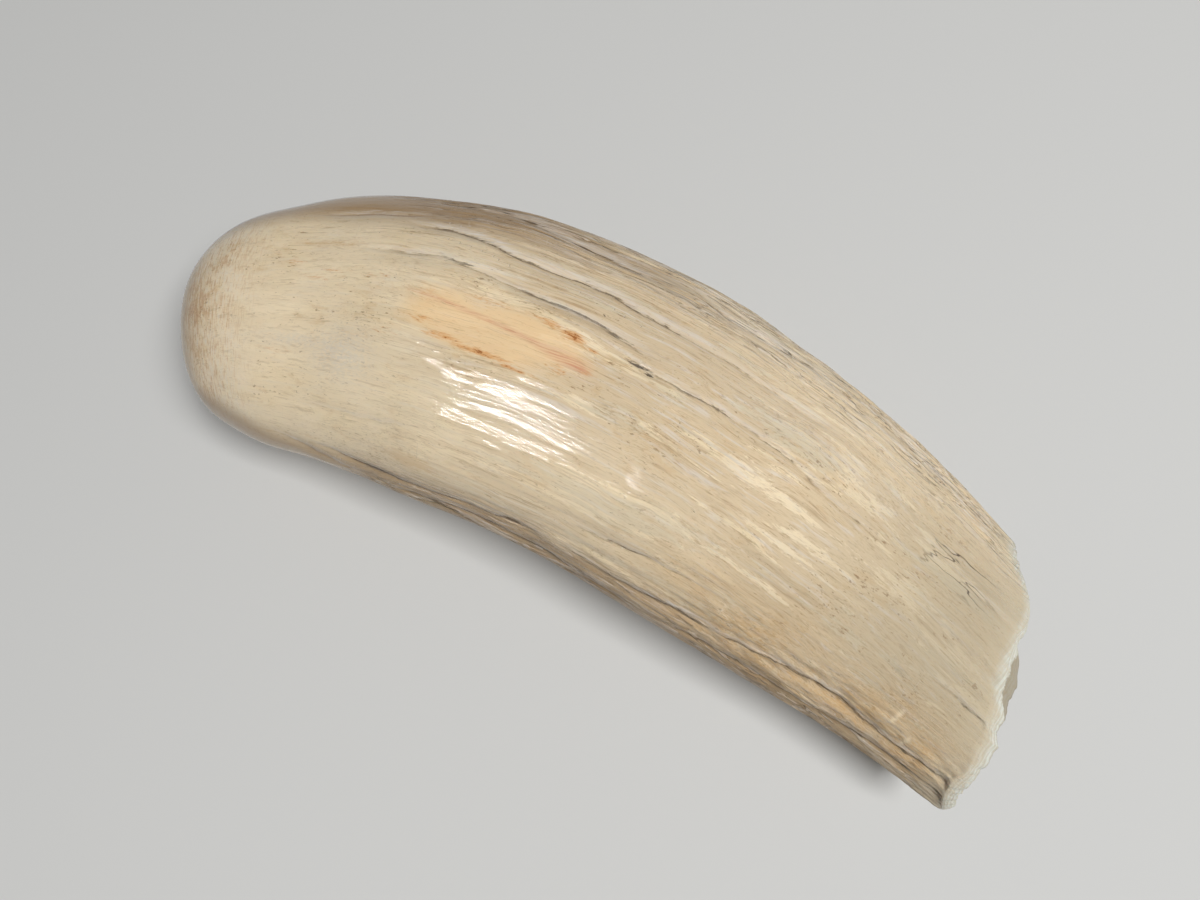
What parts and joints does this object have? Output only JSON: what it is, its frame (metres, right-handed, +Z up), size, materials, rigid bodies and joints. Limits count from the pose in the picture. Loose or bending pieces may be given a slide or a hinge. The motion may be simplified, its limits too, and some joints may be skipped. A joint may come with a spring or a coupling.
{
  "type": "sperm whale tooth",
  "caption": "Bent, oval whale tooth lying on its side, with a worn round tip, grooved flanks and a thin broken root open on its pulp cavity.",
  "frame": {"origin": "middle of the tooth's box seen from above, on the surface that the tooth rests on", "axes": "+X along the tooth from the worn tip to the broken root, +Y towards the outside of the bend, +Z up from the surface that it lies on"},
  "size_m": [0.1308, 0.0541, 0.0366],
  "materials": {
    "tooth": "satin, polished at the tip and worn to a dull grooved surface at the root"
  },
  "bodies": {
    "root": {"tooth": "tooth"}
  },
  "joints": []
}
